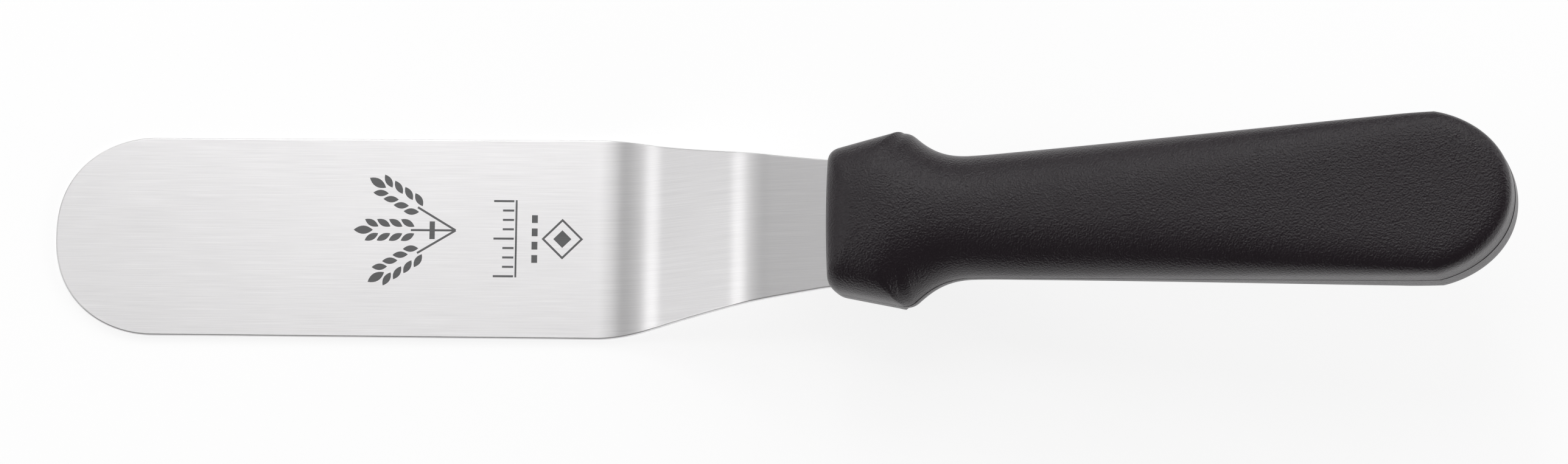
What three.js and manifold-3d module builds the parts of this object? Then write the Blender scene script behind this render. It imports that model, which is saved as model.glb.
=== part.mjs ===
// Offset spatula: a cranked stainless blade whose tang is held in a moulded plastic handle.
// Millimetres, +Z up. The blade lies flat on Z = 0 with its tip towards -X, the crank lifts the
// neck, and the handle rises towards +X. The origin is the centre of the footprint.
import * as THREE from 'three';
import { mergeVertices } from 'three/addons/utils/BufferGeometryUtils.js';
import Module from 'manifold-3d';

const wasm = await Module();
wasm.setup();

// ---- driving dimensions -------------------------------------------------------------------
const SHEET = 1.0; // thickness of the blade's steel
const BLADE_WIDTH = 38.1; // at the heel, where it is widest
const TIP_WIDTH = 37.8; // where the rounded tip begins
const TIP_LENGTH = 18.5; // length of the rounded tip
const FLAT_LENGTH = 100.4; // tip to the start of the first bend
const BEND_RADIUS = 28; // both bends, at the middle of the sheet
const CRANK_ANGLE = THREE.MathUtils.degToRad(29); // slope of the crank
const RISE_ANGLE = THREE.MathUtils.degToRad(13); // slope of neck, tang and handle
const CRANK_RUN = 13.99; // straight stretch between the bends, along the slope
const NECK_RUN = 10.71; // straight stretch from the second bend to the handle
const NECK_HALF = 12.15; // half width of the neck where it enters the handle

const TANG_LENGTH = 88; // hidden in the handle
const TANG_HALF = 7.5;
const TANG_CORNER = 4; // radius of the tang's end corners
const HOLE_RADIUS = 3; // holes that the plastic locks through
const HOLE_PLACES = [30, 54, 78]; // along the tang, from the handle's front

const HANDLE_LENGTH = 127.2;
const GUARD_HALF = 16.3; // half width at the finger guard
const WAIST_HALF = 11.37; // half width behind the guard
const BUTT_HALF = 15.1; // half width near the butt
const FRONT = 0.9; // the handle's front, from where the neck's outline ends
const GRIP_START = 36; // the straight taper of the grip
const GRIP_END = 105.6;
const BUTT_START = 113.4; // where the round butt begins
const FACET_START = 9.2; // half thickness of the guard's flat facet at the front
const FACET_SLOPE = 0.04; // how fast the facet thickens
const FACET_SQUARENESS = 3.4; // of the facet's section: 2 is an ellipse
const FACET_WIDENING = 0.23; // how fast the facet would go on widening behind the guard's tip
const FLARE = 0.9; // how fast the grip would go on widening in front of the guard's tip
const FIT_GAP = 0.3; // clearance between plastic and steel

const ARC_STEPS = 10; // steps in one bend
const CURVE_STEPS = 6; // steps in one curve of an outline
const RIM_STEPS = 6; // steps from the handle's rim to its middle
const GRIP_STEPS = 8; // steps along the straight taper of the grip
const FAN_FRONT = 9; // the skin's lines fan round these points of the handle's middle line
const FAN_BUTT = HANDLE_LENGTH - 14.4;

// ---- closed geometry to solids and back ---------------------------------------------------
function solidOf(geometry) {
  const bare = geometry.index ? geometry.toNonIndexed() : geometry.clone();
  bare.deleteAttribute('normal');
  bare.deleteAttribute('uv');
  const merged = mergeVertices(bare, 1e-4);
  const triVerts = new Uint32Array(merged.index.array);
  return new wasm.Manifold(new wasm.Mesh({
    numProp: 3,
    vertProperties: merged.attributes.position.array,
    triVerts,
  }));
}

function geometryOf(solid) {
  const { vertProperties, triVerts } = solid.getMesh();
  const geometry = new THREE.BufferGeometry();
  geometry.setAttribute('position', new THREE.BufferAttribute(vertProperties, 3));
  geometry.setIndex(new THREE.BufferAttribute(triVerts, 1));
  geometry.computeVertexNormals();
  return geometry;
}

// A plan outline from its +Y half, which runs from one end of the middle line to the other.
function mirroredShape(half) {
  const lower = half.slice(1, -1).reverse().map((p) => new THREE.Vector2(p.x, -p.y));
  return new THREE.Shape([...half, ...lower].reverse());
}

// An upright block of a plan outline, from bottom to top.
function block(half, bottom, top) {
  const options = { depth: top - bottom, bevelEnabled: false };
  const geometry = new THREE.ExtrudeGeometry(mirroredShape(half), options);
  return solidOf(geometry.translate(0, 0, bottom));
}

// ---- blade ----------------------------------------------------------------------------------
// Stations along the middle of the sheet, from the tip to the end of the tang: {x, z, angle}.
function sheetLine() {
  const stations = [{ x: 0, z: SHEET / 2, angle: 0 }];
  const straight = (length) => {
    const { x, z, angle } = stations.at(-1);
    stations.push({ x: x + length * Math.cos(angle), z: z + length * Math.sin(angle), angle });
  };
  const bend = (toAngle) => {
    const { x, z, angle } = stations.at(-1);
    const side = Math.sign(toAngle - angle);
    for (let k = 1; k <= ARC_STEPS; k++) {
      const a = angle + (toAngle - angle) * k / ARC_STEPS;
      stations.push({
        x: x + side * BEND_RADIUS * (Math.sin(a) - Math.sin(angle)),
        z: z + side * BEND_RADIUS * (Math.cos(angle) - Math.cos(a)),
        angle: a,
      });
    }
  };
  straight(FLAT_LENGTH);
  bend(CRANK_ANGLE);
  straight(CRANK_RUN);
  bend(RISE_ANGLE);
  straight(NECK_RUN);
  const entry = stations.at(-1);
  straight(TANG_LENGTH);
  return { stations, entry };
}

const { stations, entry } = sheetLine();

// The bent strip: the side section of the sheet, extruded across the blade's width.
function bentStrip() {
  const side = (offset) => stations.map(({ x, z, angle }) => (
    new THREE.Vector2(x - offset * Math.sin(angle), z + offset * Math.cos(angle))
  ));
  const section = new THREE.Shape([...side(-SHEET / 2), ...side(SHEET / 2).reverse()]);
  const width = BLADE_WIDTH + 10;
  const strip = new THREE.ExtrudeGeometry(section, { depth: width, bevelEnabled: false });
  return solidOf(strip.rotateX(Math.PI / 2).translate(0, width / 2, 0));
}

// The rounded tip is a quarter of a superellipse, from the tip point to the straight side.
function tipCurve() {
  const steps = 3 * CURVE_STEPS;
  const roundness = 2.3; // 2 is an ellipse, and more is squarer
  return Array.from({ length: steps + 1 }, (_, k) => {
    const phi = Math.PI / 2 * k / steps;
    const across = Math.sin(phi) ** (2 / roundness);
    return new THREE.Vector2(TIP_LENGTH * (1 - Math.cos(phi)), TIP_WIDTH / 2 * across);
  });
}

// The tang in the handle's frame: x from the handle's front, y the half width.
function tangHalf(grow, start) {
  const half = TANG_HALF + grow;
  const end = TANG_LENGTH + grow;
  const path = new THREE.Path();
  path.moveTo(start, 0);
  path.lineTo(start, NECK_HALF + grow);
  path.lineTo(1.5, NECK_HALF + grow);
  path.bezierCurveTo(6, NECK_HALF + grow, 7, half, 12, half);
  path.lineTo(end - TANG_CORNER, half);
  path.quadraticCurveTo(end, half, end, half - TANG_CORNER);
  path.lineTo(end, 0);
  return path.getPoints(CURVE_STEPS);
}

// The blade's plan, from the tip to the end of the tang.
function bladeHalf() {
  const heel = BLADE_WIDTH / 2;
  const path = new THREE.Path();
  path.moveTo(FLAT_LENGTH + 1.1, heel);
  path.quadraticCurveTo(FLAT_LENGTH + 5.1, heel, FLAT_LENGTH + 10, heel - 1.1);
  path.quadraticCurveTo(FLAT_LENGTH + 22.9, heel - 4.2, entry.x, NECK_HALF);
  const tang = tangHalf(0, 0).slice(2).map((p) => (
    new THREE.Vector2(entry.x + p.x * Math.cos(RISE_ANGLE), p.y)
  ));
  return [...tipCurve(), ...path.getPoints(CURVE_STEPS), ...tang];
}

// A round bar square to the tang at each locking hole, in the handle's frame.
function lockBars(radius) {
  return HOLE_PLACES.map((place) => {
    const bar = new THREE.CylinderGeometry(radius, radius, 12, 32);
    return solidOf(bar.rotateX(Math.PI / 2).translate(place, 0, 0));
  });
}

const handleFrame = new THREE.Matrix4()
  .makeTranslation(entry.x, 0, entry.z)
  .multiply(new THREE.Matrix4().makeRotationY(-RISE_ANGLE));

function bladeSolid() {
  const sheet = bentStrip().intersect(block(bladeHalf(), -5, 60));
  return lockBars(HOLE_RADIUS).reduce(
    (blade, bar) => blade.subtract(bar.transform(handleFrame.toArray())),
    sheet,
  );
}

// ---- handle ---------------------------------------------------------------------------------
// Half of the handle's plan: front face, guard, waist, grip and rounded butt.
function handleHalf() {
  const path = new THREE.Path();
  path.moveTo(FRONT, 0);
  path.quadraticCurveTo(FRONT, 6, FRONT + 0.3, 11.2); // front face, slightly crowned
  path.quadraticCurveTo(FRONT + 0.5, 13.2, FRONT + 2.7, 13.65); // front corner
  path.lineTo(13.4, GUARD_HALF - 0.35);
  path.quadraticCurveTo(15.9, GUARD_HALF + 0.5, 17.4, GUARD_HALF - 1); // tip of the guard
  path.bezierCurveTo(19.7, 13.3, 22.2, WAIST_HALF, 27.3, WAIST_HALF); // sweep to the waist
  path.quadraticCurveTo(29.9, WAIST_HALF, GRIP_START, WAIST_HALF + 0.33);
  const start = path.currentPoint.clone();
  const end = new THREE.Vector2(GRIP_END, BUTT_HALF - 0.2);
  for (let k = 1; k <= GRIP_STEPS; k++) {
    const place = start.clone().lerp(end, k / GRIP_STEPS);
    path.lineTo(place.x, place.y);
  }
  path.quadraticCurveTo(109, BUTT_HALF, BUTT_START, BUTT_HALF);
  path.bezierCurveTo(119.4, BUTT_HALF - 1.2, HANDLE_LENGTH, 9, HANDLE_LENGTH, 0); // butt
  return path.getPoints(CURVE_STEPS);
}

// Half thickness along the grip, carried on forward through the guard.
const thickness = new THREE.SplineCurve([
  [0, 11.2], [12, 9.8], [19, 9], [28, 8.4], [60, 8.7], [95, 8.2], [HANDLE_LENGTH, 7.2],
].map(([x, y]) => new THREE.Vector2(x, y))).getPoints(200);

function gripThickness(x) {
  const next = thickness.findIndex((p) => p.x >= x);
  if (next <= 0) return thickness.at(next).y;
  const [a, b] = [thickness[next - 1], thickness[next]];
  return a.y + (b.y - a.y) * (x - a.x) / (b.x - a.x);
}

// Squareness of the grip's section: 2 is an ellipse, and the butt is squarer.
function gripSquareness(x) {
  return 2.35 + 7 * (x / HANDLE_LENGTH) ** 3.5;
}

// Height of a superellipse of height 1, at a share of its half width.
function sectionHeight(share, squareness) {
  return Math.max(1 - share ** squareness, 0) ** (1 / squareness);
}

// Half height of the handle: the guard's flat facet and the rounded grip are two solids that
// meet in a bowed crease. share is y over the outline's half width, tip its widest point.
function handleHeight(x, y, share, tip) {
  const inFront = x < tip.x;
  const widening = tip.y + FACET_WIDENING * (x - tip.x);
  const flaring = tip.y + FLARE * (tip.x - x);
  const facetShare = inFront ? share : Math.abs(y) / widening;
  const gripShare = inFront ? Math.abs(y) / flaring : share;
  const facet = (FACET_START + FACET_SLOPE * x) * sectionHeight(facetShare, FACET_SQUARENESS);
  const grip = gripThickness(x) * sectionHeight(gripShare, gripSquareness(x));
  return Math.min(facet, grip);
}

// The outer skin: from each point of the outline, a line of points climbs over the rim to the
// handle's middle line, above and below. At the two ends these lines fan round one point.
function handleSkin() {
  const half = handleHalf();
  const tip = half.reduce((widest, p) => (p.y > widest.y ? p : widest));
  const outline = [...half, ...half.slice(1, -1).reverse().map((p) => new THREE.Vector2(p.x, -p.y))];
  const climb = (rim, step, side) => {
    const middle = THREE.MathUtils.clamp(rim.x, FAN_FRONT, FAN_BUTT);
    const n = rim.x < tip.x ? FACET_SQUARENESS : gripSquareness(rim.x);
    const phi = Math.PI / 2 * step / RIM_STEPS;
    const share = step === RIM_STEPS ? 0 : Math.cos(phi) ** (2 / n);
    const x = middle + share * (rim.x - middle);
    const y = share * rim.y;
    return new THREE.Vector3(x, y, side * handleHeight(x, y, share, tip));
  };
  const corners = [];
  const face = (...points) => {
    const [a, b, c] = points;
    const same = a.distanceTo(b) < 1e-3 || b.distanceTo(c) < 1e-3 || c.distanceTo(a) < 1e-3;
    if (!same) corners.push(a, b, c);
  };
  for (const side of [1, -1]) {
    outline.forEach((rim, i) => {
      const next = outline[(i + 1) % outline.length];
      const [first, second] = side > 0 ? [next, rim] : [rim, next];
      for (let k = 0; k < RIM_STEPS; k++) {
        const [a, b] = [climb(first, k, side), climb(second, k, side)];
        const [c, d] = [climb(second, k + 1, side), climb(first, k + 1, side)];
        face(a, b, c);
        face(a, c, d);
      }
    });
  }
  return solidOf(new THREE.BufferGeometry().setFromPoints(corners));
}

// The skin less the tang's seat, with a peg of plastic left standing through each hole.
function handleSolid() {
  const seatHalf = SHEET / 2 + FIT_GAP;
  const seat = lockBars(HOLE_RADIUS - FIT_GAP).reduce(
    (cut, bar) => cut.subtract(bar),
    block(tangHalf(FIT_GAP, -4), -seatHalf, seatHalf),
  );
  return handleSkin().subtract(seat);
}

// ---- assembly -------------------------------------------------------------------------------
const steel = new THREE.MeshStandardMaterial({ color: 0xd5d5d7, metalness: 1, roughness: 0.35 });
const plastic = new THREE.MeshStandardMaterial({ color: 0x1d1b1c, metalness: 0, roughness: 0.6 });

const blade = new THREE.Mesh(geometryOf(bladeSolid()), steel);
blade.name = 'blade';

const handle = new THREE.Mesh(geometryOf(handleSolid()), plastic);
handle.name = 'handle';
handle.position.set(entry.x, 0, entry.z);
handle.rotation.y = -RISE_ANGLE;

const spatula = new THREE.Group();
spatula.add(blade, handle);
spatula.updateMatrixWorld(true);
const size = new THREE.Box3().setFromObject(spatula, true);
spatula.position.x = -(size.min.x + size.max.x) / 2;

export default spatula;
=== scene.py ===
"""Offset spatula: the fine meshes, materials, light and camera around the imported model.

The shapes are worked out in millimetres in the part's frame, and go into Blender in metres.
+X runs from the blade's tip to the handle's butt, +Y across the blade and +Z up.
"""
import math

import bpy
import bmesh
import numpy as np
from mathutils import Matrix, Vector
from mathutils.geometry import delaunay_2d_cdt


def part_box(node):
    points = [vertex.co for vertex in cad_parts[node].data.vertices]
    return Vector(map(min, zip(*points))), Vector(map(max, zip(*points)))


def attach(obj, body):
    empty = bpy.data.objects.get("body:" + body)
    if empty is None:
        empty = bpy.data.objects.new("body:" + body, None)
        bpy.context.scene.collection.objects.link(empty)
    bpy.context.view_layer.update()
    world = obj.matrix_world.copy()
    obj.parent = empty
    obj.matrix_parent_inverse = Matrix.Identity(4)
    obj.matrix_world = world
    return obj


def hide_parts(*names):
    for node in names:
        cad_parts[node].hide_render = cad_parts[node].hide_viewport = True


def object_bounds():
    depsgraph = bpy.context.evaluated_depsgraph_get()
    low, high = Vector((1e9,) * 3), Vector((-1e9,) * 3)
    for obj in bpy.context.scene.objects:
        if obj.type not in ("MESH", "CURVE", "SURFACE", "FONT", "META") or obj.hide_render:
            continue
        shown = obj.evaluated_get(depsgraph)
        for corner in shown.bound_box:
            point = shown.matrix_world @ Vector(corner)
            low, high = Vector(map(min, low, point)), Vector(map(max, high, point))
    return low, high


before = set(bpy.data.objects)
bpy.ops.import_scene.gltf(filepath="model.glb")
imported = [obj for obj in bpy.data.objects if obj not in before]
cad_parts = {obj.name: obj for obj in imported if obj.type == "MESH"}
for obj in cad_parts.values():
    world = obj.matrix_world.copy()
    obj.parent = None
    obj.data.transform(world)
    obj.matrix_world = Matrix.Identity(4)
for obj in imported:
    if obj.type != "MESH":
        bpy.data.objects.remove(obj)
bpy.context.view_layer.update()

MM = 0.001

# ---- driving dimensions, in millimetres ----------------------------------------------------
blade_low, blade_high = (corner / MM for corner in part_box("blade"))
TIP_X = blade_low.x
HEEL_HALF = blade_high.y  # half width of the blade at the heel
GUARD_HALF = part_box("handle")[1].y / MM  # half width of the handle at the finger guard

SHEET = 1.0  # thickness of the steel
TIP_HALF = HEEL_HALF - 0.15  # half width where the rounded tip begins
TIP_LENGTH = 18.5
FLAT_LENGTH = 100.4  # tip to the start of the first bend
BEND_RADIUS = 28.0  # both bends, at the middle of the sheet
CRANK_ANGLE = math.radians(29)
RISE_ANGLE = math.radians(13)  # slope of the neck, tang and handle
CRANK_RUN = 13.99
NECK_RUN = 10.71
NECK_HALF = 12.15  # half width of the neck where it enters the handle
TANG_LENGTH = 88.0
TANG_HALF = 7.5
TANG_CORNER = 4.0
LOCK_PLACES = (30.0, 54.0, 78.0)  # holes in the tang, from the handle's front
LOCK_RADIUS = 3.0
LOCK_BAR_LENGTH = 12.0
FIT_GAP = 0.04  # between the plastic and the steel
EDGE_RADIUS = 0.22  # of the sheet's polished edges
EDGE_MARGIN = 0.08  # a flat strip beside them, which keeps the shading even
FACE_COLUMNS = 12  # faces across the sheet

HANDLE_LENGTH = 127.2
WAIST_HALF = 11.37
BUTT_HALF = 15.1
FRONT = 0.9  # the handle's front, from where the neck's outline ends
GRIP_START, GRIP_END = 36.0, 105.6  # the straight taper of the grip
BUTT_START = 113.4  # where the round butt begins
FAN_FRONT = 9.0  # the skin's lines fan round these two points of the handle's middle line
FAN_BUTT = HANDLE_LENGTH - 14.4
RIM_STEPS = 30  # from the handle's rim to its middle
MOULD_SHIFT = (0.08, -0.03)  # how far the lower half of the mould sits out of line


# ---- curves and meshes ---------------------------------------------------------------------
def bezier(points, steps):
    """A Bezier curve through its first and last control points, without its first point."""
    degree = len(points) - 1
    t = np.linspace(0, 1, steps + 1)[1:, None]
    return sum(
        math.comb(degree, k) * t**k * (1 - t) ** (degree - k) * np.array(point, float)
        for k, point in enumerate(points)
    )


def line(start, end, steps):
    return bezier([start, end], steps)


def ring_faces(start, size, rings):
    """Quads between successive closed rings of points, which are numbered from start."""
    faces = []
    for ring in range(rings - 1):
        here, there = start + ring * size, start + (ring + 1) * size
        for i in range(size):
            j = (i + 1) % size
            faces.append((here + i, here + j, there + j, there + i))
    return faces


def make_piece(name, points, faces, material, uv=None):
    """A smooth-shaded object from points in millimetres and faces of point numbers."""
    mesh = bpy.data.meshes.new(name)
    mesh.from_pydata([tuple(p) for p in np.asarray(points) * MM], [], faces)
    if uv is not None:
        layer = mesh.uv_layers.new(name="along_sheet")
        corners = np.zeros(len(mesh.loops), int)
        mesh.loops.foreach_get("vertex_index", corners)
        layer.data.foreach_set("uv", (np.asarray(uv) * MM)[corners].ravel())
    shape = bmesh.new()
    shape.from_mesh(mesh)
    bmesh.ops.recalc_face_normals(shape, faces=shape.faces)
    shape.to_mesh(mesh)
    shape.free()
    mesh.materials.append(material)
    piece = bpy.data.objects.new(name, mesh)
    bpy.context.scene.collection.objects.link(piece)
    mesh.shade_smooth()
    return piece


def cut(piece, cutters):
    """Cuts the other solids out of a piece and removes them."""
    for cutter in cutters:
        modifier = piece.modifiers.new("cut", "BOOLEAN")
        modifier.operation = "DIFFERENCE"
        modifier.solver = "EXACT"
        modifier.object = cutter
    evaluated = piece.evaluated_get(bpy.context.evaluated_depsgraph_get())
    mesh = bpy.data.meshes.new_from_object(evaluated)
    piece.modifiers.clear()
    piece.data = mesh
    for cutter in cutters:
        bpy.data.objects.remove(cutter)


# ---- the sheet's middle line ---------------------------------------------------------------
# Its stretches: length along the sheet, and curvature.
STRETCHES = (
    (FLAT_LENGTH, 0),
    (BEND_RADIUS * CRANK_ANGLE, 1 / BEND_RADIUS),
    (CRANK_RUN, 0),
    (BEND_RADIUS * (CRANK_ANGLE - RISE_ANGLE), -1 / BEND_RADIUS),
    (NECK_RUN, 0),
    (TANG_LENGTH, 0),
)
ENTRY = sum(length for length, _ in STRETCHES[:-1])  # along the sheet, at the handle's front
SHEET_END = ENTRY + TANG_LENGTH


def sheet_place(along):
    """x, z and slope of the sheet's middle line, at a distance along it from the tip."""
    x, z, slope = TIP_X, SHEET / 2, 0.0
    for length, curvature in STRETCHES:
        run = min(along, length)
        turn = run * curvature
        chord = 2 / curvature * math.sin(turn / 2) if curvature else run
        x += chord * math.cos(slope + turn / 2)
        z += chord * math.sin(slope + turn / 2)
        slope += turn
        along -= run
        if along <= 0:
            break
    return x, z, slope


ENTRY_X, ENTRY_Z, _ = sheet_place(ENTRY)
handle_frame = Matrix.Translation((ENTRY_X, 0, ENTRY_Z)) @ Matrix.Rotation(-RISE_ANGLE, 4, "Y")


# ---- blade ---------------------------------------------------------------------------------
def tang_side(grow, start):
    """Half of the tang's outline in the handle's frame, from the side of the neck to its end."""
    half, end = TANG_HALF + grow, TANG_LENGTH + grow
    neck = NECK_HALF + grow
    shoulder = bezier([(start, neck), (6, neck), (7, half), (12, half)], 12)
    corner = [(end - TANG_CORNER, half), (end, half), (end, half - TANG_CORNER)]
    return np.vstack([[(start, neck)], shoulder, line((12, half), corner[0], 30), bezier(corner, 8)])


def blade_side():
    """Half of the blade's outline: distance along the sheet, and half width."""
    table = np.linspace(0, SHEET_END, 2000)
    plan = np.array([sheet_place(s)[0] - TIP_X for s in table])
    phi = np.linspace(0, math.pi / 2, 57)
    roundness = 2.3  # 2 is an ellipse, and more is squarer
    tip = np.column_stack([TIP_LENGTH * (1 - np.cos(phi)), TIP_HALF * np.sin(phi) ** (2 / roundness)])
    heel = (FLAT_LENGTH + 1.1, HEEL_HALF)
    turn = (FLAT_LENGTH + 10.0, HEEL_HALF - 1.1)
    neck = (ENTRY_X - TIP_X, NECK_HALF)
    outline = np.vstack([
        tip,
        line(tip[-1], heel, 60),
        bezier([heel, (FLAT_LENGTH + 5.1, HEEL_HALF), turn], 16),
        bezier([turn, (FLAT_LENGTH + 22.9, HEEL_HALF - 4.2), neck], 50),
    ])
    outline[:, 0] = np.interp(outline[:, 0], plan, table)
    tang = tang_side(0, 0)[1:]
    return np.vstack([outline, tang + (ENTRY, 0)])


def rim_profile():
    """Inset from the outline and height over the middle of the sheet, from side to face."""
    angles = np.linspace(0, math.pi / 2, 6)
    arc = [
        (EDGE_RADIUS * (1 - math.cos(angle)), SHEET / 2 - EDGE_RADIUS * (1 - math.sin(angle)))
        for angle in angles
    ]
    return [(0.0, 0.0), *arc, (EDGE_RADIUS + EDGE_MARGIN, SHEET / 2)]


def outward(loop):
    """Unit normals of a closed loop that runs clockwise from above, as the outlines here do."""
    step = np.roll(loop, -1, axis=0) - np.roll(loop, 1, axis=0)
    normal = np.column_stack([-step[:, 1], step[:, 0]])
    return normal / np.linalg.norm(normal, axis=1)[:, None]


def bent(flat_points):
    """Puts (along, across, height) points of the flat sheet on the bent one."""
    placed = []
    for along, across, height in flat_points:
        x, z, slope = sheet_place(along)
        placed.append((x - height * math.sin(slope), across, z + height * math.cos(slope)))
    return placed


# ---- the etched mark: a sheaf of wheat, a scale, dashes and a framed diamond -----------------
def pointed_grain(center, angle, length, width):
    """A grain or leaf with two pointed ends; angle 0 points up."""
    t = np.linspace(-1, 1, 9)
    right = np.column_stack([width / 2 * (1 - t * t), length / 2 * t])
    outline = np.vstack([right, right[-2:0:-1] * (-1, 1)])
    c, s = math.cos(angle), math.sin(angle)
    return outline @ np.array([[c, -s], [s, c]]) + center


def bar(left, bottom, right, top):
    return np.array([(left, bottom), (right, bottom), (right, top), (left, top)])


def diamond(radius):
    return np.array([(0, -radius), (radius, 0), (0, radius), (-radius, 0)])


def wheat_ear():
    """An ear on its stalk, from the origin upwards."""
    shapes = [bar(-0.2, 0, 0.2, 8.4), pointed_grain((0, 17.3), 0, 3.6, 1.6)]
    for side in (-1, 1):
        for k in range(4):
            shapes.append(pointed_grain((side * 1.35, 9.0 + 2.25 * k), side * 0.5, 2.9, 1.25))
    return shapes


def sheaf():
    """Three ears that spread from a tie."""
    shapes = [bar(-1.7, -4.9, 1.7, -3.9)]
    for lean in (-0.55, 0.0, 0.55):
        c, s = math.cos(lean), math.sin(lean)
        turn = np.array([[c, -s], [s, c]])
        shapes += [shape @ turn - (0, 8.8) for shape in wheat_ear()]
    return shapes


def tick_scale():
    shapes = [bar(-7.4, -2.3, 7.4, -1.95)]
    for k in range(9):
        place = -7.2 + 1.8 * k
        shapes.append(bar(place - 0.2, -1.7, place + 0.2, 2.1 if k % 4 == 0 else 0.4))
    return shapes


def dashes():
    return [bar(place, -0.55, place + 1.5, 0.55) for place in np.arange(-4.6, 4, 2.55)]


# Each group: its shapes, and its place as distance from the tip and from the middle line. The
# mark is upright when the tip points up. A frame is solid between two outlines.
MARK_GROUPS = (
    (sheaf, 66.0, 1.5),
    (tick_scale, 84.0, 0.0),
    (dashes, 89.6, 0.0),
    (lambda: [diamond(1.7)], 94.8, 0.0),
)
FRAME_OUTER, FRAME_INNER = diamond(3.9), diamond(3.35)
MARK_START, MARK_END = 45.0, 101.0  # the stretch of the flat that holds the mark


def on_sheet(shape, along, across):
    """From upright mark coordinates to distance along the sheet and across it."""
    return np.column_stack([along - shape[:, 1], across + shape[:, 0]])


def mark_shapes():
    """The mark's solid outlines, and the outer and inner outline of its frame."""
    shapes = [
        on_sheet(shape, along, across)
        for make, along, across in MARK_GROUPS for shape in make()
    ]
    _, along, across = MARK_GROUPS[-1]
    return shapes, on_sheet(FRAME_OUTER, along, across), on_sheet(FRAME_INNER, along, across)


def marked_patch(border, points, height):
    """Fills the border with triangles that follow the mark. Returns the faces, and which of
    them are etched. New points are added to points."""
    solids, frame_outer, frame_inner = mark_shapes()
    outlines = [*solids, frame_outer, frame_inner]
    coords = [Vector(points[i][:2]) for i in border]
    loops = [list(range(len(border)))]
    for outline in outlines:
        loops.append(list(range(len(coords), len(coords) + len(outline))))
        coords += [Vector(p) for p in outline]
    inside = 1  # keep the triangles inside the outlines
    found = delaunay_2d_cdt(coords, [], loops, inside, 1e-6, True)
    places, _, triangles, sources, _, owners = found
    number = []
    for place, source in zip(places, sources):
        known = [k for k in source if k < len(border)]
        if known:
            number.append(border[known[0]])
        else:
            number.append(len(points))
            points.append((place.x, place.y, height))
    last = len(loops) - 1
    faces, etched = [], []
    for triangle, owner in zip(triangles, owners):
        a, b, c = (places[k] for k in triangle)
        if not owner or abs((b - a).cross(c - a)) < 1e-4:
            continue
        faces.append(tuple(number[k] for k in triangle))
        framed = last - 1 in owner and last not in owner
        etched.append(framed or any(0 < k < last - 1 for k in owner))
    return faces, etched


def face_rows(points, start, size, count, height):
    """Rows of point numbers across one face of the sheet, from its +Y side to its -Y side. The
    face's outline starts at point number start, and the new points are added to points."""
    rows = [[start] * (FACE_COLUMNS + 1)]
    for i in range(1, count - 1):
        left, right = points[start + i], points[start + size - i]
        row = [start + i]
        for c in range(1, FACE_COLUMNS):
            t = c / FACE_COLUMNS
            row.append(len(points))
            points.append(tuple(left[m] + (right[m] - left[m]) * t for m in (0, 1)) + (height,))
        rows.append(row + [start + size - i])
    return rows


def row_faces(rows):
    faces = []
    for upper, lower in zip(rows, rows[1:]):
        for c in range(FACE_COLUMNS):
            quad = [upper[c], upper[c + 1], lower[c + 1], lower[c]]
            faces.append(tuple(dict.fromkeys(quad)))  # a repeated point makes it a triangle
    return faces


def blade_points():
    """The blade's points on the flat sheet, its faces, and which of them are etched."""
    side = blade_side()
    count = len(side)
    loop = np.vstack([side, side[:0:-1] * (1, -1)])  # tip, +Y side, tang's end, -Y side
    size = len(loop)
    normal = outward(loop)
    profile = rim_profile()
    levels = [(i, h) for i, h in reversed(profile)] + [(i, -h) for i, h in profile[1:]]
    points = [(a, b, height) for inset, height in levels for a, b in loop - normal * inset]
    faces = ring_faces(0, size, len(levels))

    top_height = levels[0][1]
    rows = face_rows(points, 0, size, count, top_height)
    along = [points[row[0]][0] for row in rows]
    first = int(np.searchsorted(along, MARK_START))
    last = int(np.searchsorted(along, MARK_END)) - 1
    faces += row_faces(rows[:first + 1]) + row_faces(rows[last:])
    faces.append((*rows[-1], size - count + 1, count - 1))
    border = rows[first] + [row[-1] for row in rows[first + 1:last]]
    border += rows[last][::-1] + [row[0] for row in rows[last - 1:first:-1]]
    patch, patch_etched = marked_patch(border, points, top_height)
    etched = [False] * len(faces) + patch_etched
    faces += patch

    start = (len(levels) - 1) * size
    rows = face_rows(points, start, size, count, levels[-1][1])
    faces += row_faces(rows)
    faces.append((*rows[-1], start + size - count + 1, start + count - 1))
    etched += [False] * (len(faces) - len(etched))
    return points, faces, etched


def lock_bars(radius):
    """A round bar square to the tang at each of its holes."""
    bars = []
    for place in LOCK_PLACES:
        shape = bmesh.new()
        bmesh.ops.create_cone(
            shape, cap_ends=True, segments=48, depth=LOCK_BAR_LENGTH * MM,
            radius1=radius * MM, radius2=radius * MM,
        )
        mesh = bpy.data.meshes.new("lock_bar")
        shape.to_mesh(mesh)
        shape.free()
        place_in_handle = handle_frame @ Matrix.Translation((place, 0, 0))
        place_in_handle.translation *= MM
        mesh.transform(place_in_handle)
        lock_bar = bpy.data.objects.new("lock_bar", mesh)
        bpy.context.scene.collection.objects.link(lock_bar)
        bars.append(lock_bar)
    return bars


def make_blade(material, mark_material):
    flat, faces, etched = blade_points()
    uv = [(along, across) for along, across, _ in flat]
    blade = make_piece("cranked_blade", bent(flat), faces, material, uv)
    blade.data.materials.append(mark_material)
    blade.data.polygons.foreach_set("material_index", np.array(etched, np.int32))
    cut(blade, lock_bars(LOCK_RADIUS))
    blade.data.set_sharp_from_angle(angle=math.radians(50))
    return blade


# ---- handle --------------------------------------------------------------------------------
FACET_SLOPE = 0.04  # how fast the guard's front facet thickens
FACET_START = 9.2  # its half thickness at the front
FACET_SQUARENESS = 3.4
FACET_WIDENING = 0.23
FLARE = 0.9  # how fast the grip would go on widening forward of the guard's tip
CREASE = 40.0  # a higher number makes a sharper crease between facet and grip
WAIST_SQUARENESS = 2.35  # of the grip's section: 2 is an ellipse
BUTT_SQUARENESS = 9.35


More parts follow.
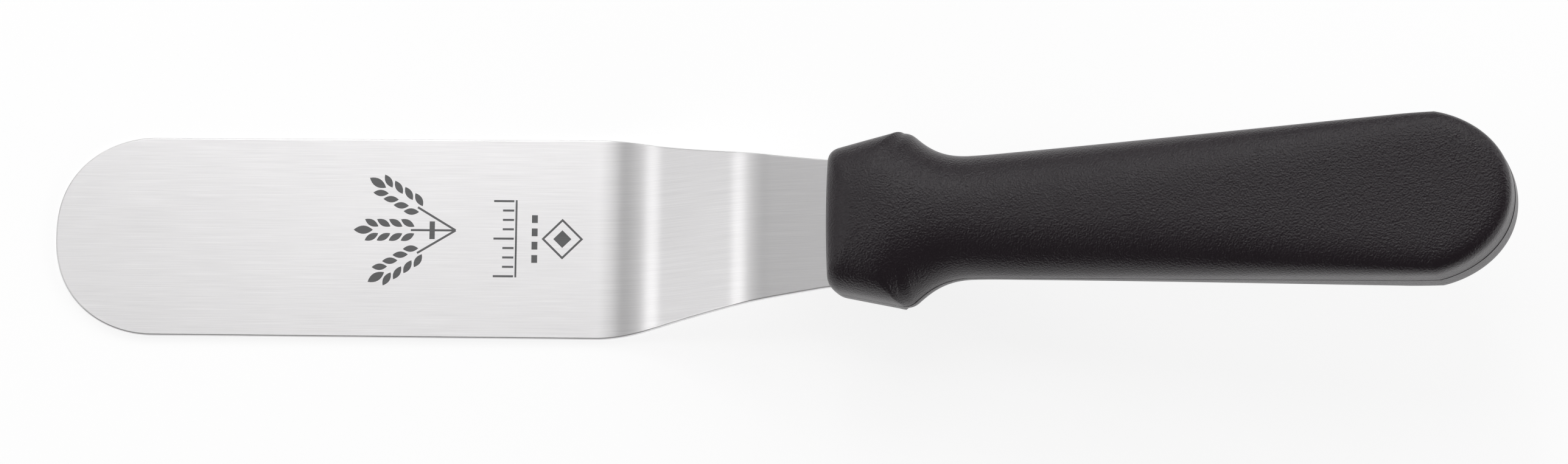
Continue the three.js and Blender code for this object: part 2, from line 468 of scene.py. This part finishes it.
def handle_side():
    """Half of the handle's outline in its own frame: x from the front, and half width."""
    guard, waist, butt = GUARD_HALF, WAIST_HALF, BUTT_HALF
    corner_start, corner_end = (FRONT + 0.3, 11.2), (FRONT + 2.7, 13.65)
    tip_start, sweep = (13.4, guard - 0.35), (17.4, guard - 1.0)
    grip_start, grip_end = (GRIP_START, waist + 0.33), (GRIP_END, butt - 0.2)
    return np.vstack([
        [(FRONT, 0)],
        bezier([(FRONT, 0), (FRONT, 6), corner_start], 22),
        bezier([corner_start, (FRONT + 0.5, 13.2), corner_end], 18),
        line(corner_end, tip_start, 18),
        bezier([tip_start, (15.9, guard + 0.5), sweep], 18),
        bezier([sweep, (19.7, 13.3), (22.2, waist), (27.3, waist)], 24),
        bezier([(27.3, waist), (29.9, waist), grip_start], 10),
        line(grip_start, grip_end, 50),
        bezier([grip_end, (109, butt), (BUTT_START, butt)], 10),
        bezier([(BUTT_START, butt), (119.4, butt - 1.2), (HANDLE_LENGTH, 9), (HANDLE_LENGTH, 0)], 48),
    ])


# Half thickness along the grip, carried on forward through the guard.
THICKNESS = np.array([
    (0, 11.2), (12, 9.8), (19, 9.0), (28, 8.4), (60, 8.7), (95, 8.2), (HANDLE_LENGTH, 7.2),
])


def smooth_table(table):
    """A smooth curve through a table's points, as a function of its first column."""
    x, y = table.T
    slope = np.gradient(y, x)

    def value(at):
        k = int(np.clip(np.searchsorted(x, at) - 1, 0, len(x) - 2))
        width = x[k + 1] - x[k]
        t = (at - x[k]) / width
        return (
            (1 + 2 * t) * (1 - t) ** 2 * y[k] + t * (1 - t) ** 2 * width * slope[k]
            + t * t * (3 - 2 * t) * y[k + 1] - t * t * (1 - t) * width * slope[k + 1]
        )

    return value


grip_thickness = smooth_table(THICKNESS)


def section_height(share, squareness):
    """Height of a superellipse of height 1, at a share of its half width."""
    return max(1 - share**squareness, 0) ** (1 / squareness)


def grip_squareness(x):
    """Exponent of the grip's section, which gets squarer towards the butt."""
    return WAIST_SQUARENESS + (BUTT_SQUARENESS - WAIST_SQUARENESS) * (x / HANDLE_LENGTH) ** 3.5


def ring_squareness(x):
    """How the mesh's rings are spaced: it goes from the facet's section to the grip's."""
    blend_start, blend_length = 6, 20
    t = min(max((x - blend_start) / blend_length, 0), 1)
    blend = t * t * (3 - 2 * t)
    return FACET_SQUARENESS + (grip_squareness(x) - FACET_SQUARENESS) * blend


def handle_height(x, y, share, tip):
    """Half height of the handle at x, y: the guard's flat facet and the rounded grip are two
    solids that meet in a bowed crease. share is y over the outline's half width there, and tip
    is the outline's widest point."""
    tip_x, tip_half = tip
    if x < tip_x:
        facet_share, grip_share = share, abs(y) / (tip_half + FLARE * (tip_x - x))
    else:
        facet_share, grip_share = abs(y) / (tip_half + FACET_WIDENING * (x - tip_x)), share
    facet = (FACET_START + FACET_SLOPE * x) * section_height(facet_share, FACET_SQUARENESS)
    grip = grip_thickness(x) * section_height(grip_share, grip_squareness(x))
    if min(facet, grip) < 1e-6:
        return 0.0
    return (facet**-CREASE + grip**-CREASE) ** (-1 / CREASE)


def handle_points():
    """The handle's skin: lines of points climb from its rim to its middle, above and below."""
    side = handle_side()
    loop = np.vstack([side, side[-2:0:-1] * (1, -1)])  # front, +Y side, butt, -Y side
    tip = side[np.argmax(side[:, 1])]
    size = len(loop)
    middle = np.clip(loop[:, 0], FAN_FRONT, FAN_BUTT)
    points, faces = [], []
    for sign, shift in ((1, (0, 0)), (-1, MOULD_SHIFT)):
        start = len(points)
        for k in range(RIM_STEPS):
            phi = math.pi / 2 * k / RIM_STEPS
            for (x, y), m in zip(loop, middle):
                share = math.cos(phi) ** (2 / ring_squareness(x))
                px, py = m + share * (x - m), share * y
                height = sign * handle_height(px, py, share, tip)
                points.append((px + shift[0], py + shift[1], height))
        half = ring_faces(start, size, RIM_STEPS)
        ridge = {}
        for m in middle:
            key = round(float(m), 4)
            if key not in ridge:
                ridge[key] = len(points)
                points.append((key + shift[0], shift[1], sign * handle_height(key, 0, 0, tip)))
        last = start + (RIM_STEPS - 1) * size
        for i in range(size):
            j = (i + 1) % size
            top_i, top_j = (ridge[round(float(middle[n]), 4)] for n in (i, j))
            half.append(tuple(dict.fromkeys([last + i, last + j, top_j, top_i])))
        faces += half if sign < 0 else [face[::-1] for face in half]
    lower = RIM_STEPS * size + len(ridge)
    for i in range(size):
        j = (i + 1) % size
        faces.append((i, j, lower + j, lower + i))  # the ledge at the parting line
    return points, faces


def tang_seat():
    """The slot in the plastic that the neck and tang sit in."""
    start = -4  # clear of the handle's front
    half = tang_side(FIT_GAP, start)
    loop = np.vstack([half, half[::-1] * (1, -1)])
    size = len(loop)
    points = [(x, y, z) for z in (-SHEET / 2 - FIT_GAP, SHEET / 2 + FIT_GAP) for x, y in loop]
    faces = [tuple(range(size)), tuple(range(2 * size - 1, size - 1, -1))]
    faces += [(i, size + i, size + (i + 1) % size, (i + 1) % size) for i in range(size)]
    return points, faces


def in_handle(points):
    return [tuple(handle_frame @ Vector(p)) for p in points]


def make_handle(material):
    points, faces = handle_points()
    handle = make_piece("moulded_handle", in_handle(points), faces, material)
    points, faces = tang_seat()
    seat = make_piece("tang_seat", in_handle(points), faces, material)
    cut(seat, lock_bars(LOCK_RADIUS - FIT_GAP))
    cut(handle, [seat])
    handle.data.set_sharp_from_angle(angle=math.radians(40))
    return handle


# ---- materials -----------------------------------------------------------------------------
class Nodes:
    """A material's node tree, with short calls to add and link nodes."""

    def __init__(self, name):
        self.material = bpy.data.materials.new(name)
        self.material.use_nodes = True
        self.tree = self.material.node_tree
        self.shader = self.tree.nodes["Principled BSDF"]

    def add(self, kind, inputs=None, **settings):
        node = self.tree.nodes.new("ShaderNode" + kind)
        for key, value in settings.items():
            setattr(node, key, value)
        for key, value in (inputs or {}).items():
            self.put(node.inputs[key], value)
        return node

    def put(self, socket, value):
        if isinstance(value, bpy.types.NodeSocket):
            self.tree.links.new(value, socket)
        else:
            socket.default_value = value

    def ramp(self, value, low, high, to_low=0.0, to_high=1.0):
        """Maps low..high to to_low..to_high, with no overshoot."""
        node = self.add("MapRange", {
            "Value": value, "From Min": low, "From Max": high, "To Min": to_low, "To Max": to_high,
        })
        return node.outputs["Result"]

    def noise(self, place, scale, detail=2.0, stretch=(1, 1, 1)):
        mapping = self.add("Mapping", {"Vector": place, "Scale": stretch})
        node = self.add("TexNoise", {
            "Vector": mapping.outputs["Vector"], "Scale": scale, "Detail": detail,
        })
        return node.outputs["Fac"]

    def mix(self, share, first, second):
        """Mixes two colours, which are the node's inputs 6 and 7 and its output 2."""
        node = self.add("Mix", data_type="RGBA")
        self.put(node.inputs[0], share)
        self.put(node.inputs[6], first)
        self.put(node.inputs[7], second)
        return node.outputs[2]

    def blend(self, operation, first, second):
        node = self.add("Math", operation=operation)
        self.put(node.inputs[0], first)
        self.put(node.inputs[1], second)
        return node.outputs[0]

    def bump(self, height, distance, strength=1.0):
        inputs = {"Height": height, "Distance": distance, "Strength": strength}
        return self.add("Bump", inputs).outputs["Normal"]


def brushed_steel(name, light, dark):
    n = Nodes(name)
    uv = n.add("UVMap", uv_map="along_sheet").outputs["UV"]
    fine = n.noise(uv, 1.0, 3, (90, 9000, 1))
    coarse = n.noise(uv, 1.0, 2, (40, 2400, 1))
    cloud = n.noise(uv, 1.0, 2, (30, 60, 1))
    lines = n.blend("MULTIPLY", n.ramp(fine, 0.3, 0.7), n.ramp(coarse, 0.3, 0.7, 0.5, 1.0))
    tone = n.blend("ADD", n.blend("MULTIPLY", lines, 0.7), n.blend("MULTIPLY", cloud, 0.3))
    n.put(n.shader.inputs["Base Color"], n.mix(tone, (*dark, 1), (*light, 1)))
    n.put(n.shader.inputs["Roughness"], n.ramp(lines, 0, 1, 0.37, 0.32))
    n.put(n.shader.inputs["Normal"], n.bump(fine, 0.00001, 0.25))
    n.shader.inputs["Metallic"].default_value = 1.0
    n.shader.inputs["Anisotropic"].default_value = 0.75
    n.shader.inputs["Anisotropic Rotation"].default_value = 0.25
    tangent = n.add("Tangent", direction_type="UV_MAP", uv_map="along_sheet").outputs["Tangent"]
    n.put(n.shader.inputs["Tangent"], tangent)
    return n.material


def moulded_plastic(name):
    n = Nodes(name)
    place = n.add("TexCoord").outputs["Object"]
    grain = n.add("TexVoronoi", {"Vector": place, "Scale": 2800.0}, feature="SMOOTH_F1").outputs["Distance"]
    wrinkle = n.noise(place, 3000.0, 2)
    cloud = n.noise(place, 60.0, 2)
    height = n.blend("ADD", n.blend("MULTIPLY", grain, 0.5), wrinkle)
    # The colour is lighter on the raised wrinkles of the grain, which is painted grain highlight, mixed
    # with a random cloudy tone.
    tone = n.blend("ADD", n.blend("MULTIPLY", wrinkle, 0.6), n.blend("MULTIPLY", cloud, 0.4))
    color = n.mix(tone, (0.007, 0.0025, 0.006, 1), (0.014, 0.0068, 0.0118, 1))
    n.put(n.shader.inputs["Base Color"], color)
    n.put(n.shader.inputs["Roughness"], n.ramp(cloud, 0.3, 0.7, 0.31, 0.35))
    n.put(n.shader.inputs["Normal"], n.bump(height, 0.00012, 1.0))
    return n.material


# ---- floor, light and camera ---------------------------------------------------------------
CAMERA_TILT = math.radians(12.4)  # from straight above, towards -Y
CAMERA_YAW = math.radians(0.475)
CAMERA_DISTANCE = 1.1
CAMERA_TARGET = Vector((0.0018, 0.00193, 0.0))
VIEW_WIDTH = 0.2939  # what the picture's width shows at the target
SENSOR_WIDTH = 36.0


def make_camera():
    right = Vector((math.cos(CAMERA_YAW), math.sin(CAMERA_YAW), 0))
    flat_up = Vector((-math.sin(CAMERA_YAW), math.cos(CAMERA_YAW), 0))
    back = Vector((0, 0, math.cos(CAMERA_TILT))) - flat_up * math.sin(CAMERA_TILT)
    up = back.cross(right)
    camera = bpy.data.objects.new("camera", bpy.data.cameras.new("camera"))
    camera.matrix_world = Matrix((
        (right.x, up.x, back.x, 0), (right.y, up.y, back.y, 0), (right.z, up.z, back.z, 0), (0, 0, 0, 1),
    ))
    camera.location = CAMERA_TARGET + back * CAMERA_DISTANCE
    camera.data.sensor_width = SENSOR_WIDTH
    camera.data.lens = SENSOR_WIDTH * CAMERA_DISTANCE / VIEW_WIDTH
    camera.data.clip_start = 0.05
    bpy.context.scene.collection.objects.link(camera)
    bpy.context.scene.camera = camera


LIGHT_DISTANCE = 1.4


def make_light(name, lean_x, lean_y, width, depth, power):
    """A soft box over the object: its leans from straight above and its size are in degrees."""
    data = bpy.data.lights.new(name, "AREA")
    data.shape = "RECTANGLE"
    data.size = 2 * LIGHT_DISTANCE * math.tan(math.radians(width) / 2)
    data.size_y = 2 * LIGHT_DISTANCE * math.tan(math.radians(depth) / 2)
    data.energy = power
    light = bpy.data.objects.new(name, data)
    tilt = Matrix.Rotation(math.radians(lean_x), 4, "Y") @ Matrix.Rotation(-math.radians(lean_y), 4, "X")
    light.matrix_world = tilt @ Matrix.Translation((0, 0, LIGHT_DISTANCE))
    bpy.context.scene.collection.objects.link(light)


FLOOR_HALF = 3.0  # metres
FLOOR_GAP = 0.0002  # under the lowest point of the object, in metres
FLOOR_GLOW = 0.8
WORLD_GREY = 0.17
# Each soft box: its name, lean towards +X and +Y, width and depth in degrees, and watts.
SOFT_BOXES = (
    ("overhead", -8, 24, 30, 18, 2.4),
    ("low_left", -36, 24, 14, 18, 0.5),
    ("back", -8, 46, 10, 22, 2.2),
    ("back_left", -50, 46, 12, 22, 1.3),
    ("strip", -50, -2, 12, 32, 1.9),
    ("left_wall", -66, 6, 16, 16, 0.8),
    ("right_front", 70, -28, 26, 18, 2.5),
    ("right_back", 40, 46, 24, 22, 2.5),
    ("right_wall", 70, 24, 26, 18, 3.0),
)


def floor_material():
    """White card that glows a little, so that the shadows on it stay faint."""
    n = Nodes("floor_white")
    n.shader.inputs["Base Color"].default_value = (0.3, 0.3, 0.3, 1)
    n.shader.inputs["Roughness"].default_value = 0.9
    n.shader.inputs["Specular IOR Level"].default_value = 0.0
    n.shader.inputs["Emission Color"].default_value = (1, 1, 1, 1)
    n.shader.inputs["Emission Strength"].default_value = FLOOR_GLOW
    return n.material


def make_floor():
    half = FLOOR_HALF / MM
    corners = [(-half, -half, 0), (half, -half, 0), (half, half, 0), (-half, half, 0)]
    floor = make_piece("floor", corners, [(0, 1, 2, 3)], floor_material())
    floor.location.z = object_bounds()[0][2] - FLOOR_GAP


def make_stage():
    world = bpy.data.worlds.new("studio")
    bpy.context.scene.world = world
    world.use_nodes = True
    background = world.node_tree.nodes["Background"]
    background.inputs["Color"].default_value = (WORLD_GREY, WORLD_GREY, WORLD_GREY, 1)
    make_floor()
    for soft_box in SOFT_BOXES:
        make_light(*soft_box)
    bpy.context.scene.view_settings.view_transform = "Standard"


# ---- everything ----------------------------------------------------------------------------
make_camera()
steel = brushed_steel("brushed_steel", (0.89, 0.88, 0.885), (0.73, 0.72, 0.725))
plastic = moulded_plastic("black_plastic")
etched_steel = brushed_steel("etched_steel", (0.15, 0.15, 0.152), (0.11, 0.11, 0.112))

blade = make_blade(steel, etched_steel)
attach(blade, "root")
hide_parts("blade")

handle = make_handle(plastic)
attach(handle, "root")
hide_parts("handle")

make_stage()
